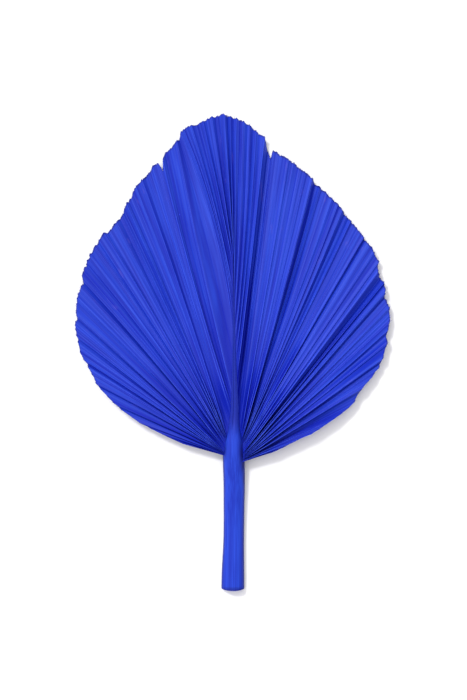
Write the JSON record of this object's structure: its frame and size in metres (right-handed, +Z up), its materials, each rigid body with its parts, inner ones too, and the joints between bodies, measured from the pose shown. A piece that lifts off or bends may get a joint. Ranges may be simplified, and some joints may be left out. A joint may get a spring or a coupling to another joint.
{
  "type": "fan palm leaf",
  "caption": "Dried fan palm leaf dyed blue, its pleated blade trimmed to a broad drop shape with a ragged rim, on a short cut stalk.",
  "frame": {"origin": "on the surface that the leaf lies on, under the middle of the leaf's plan rectangle", "axes": "+Y along the leaf from the cut end of the stalk to the tip, +Z up from the surface, +X to the right as seen from above"},
  "size_m": [0.284, 0.4299, 0.0158],
  "materials": {
    "dyed_leaf": "matt"
  },
  "bodies": {
    "root": {"fan_palm_leaf": "dyed_leaf"}
  },
  "joints": []
}
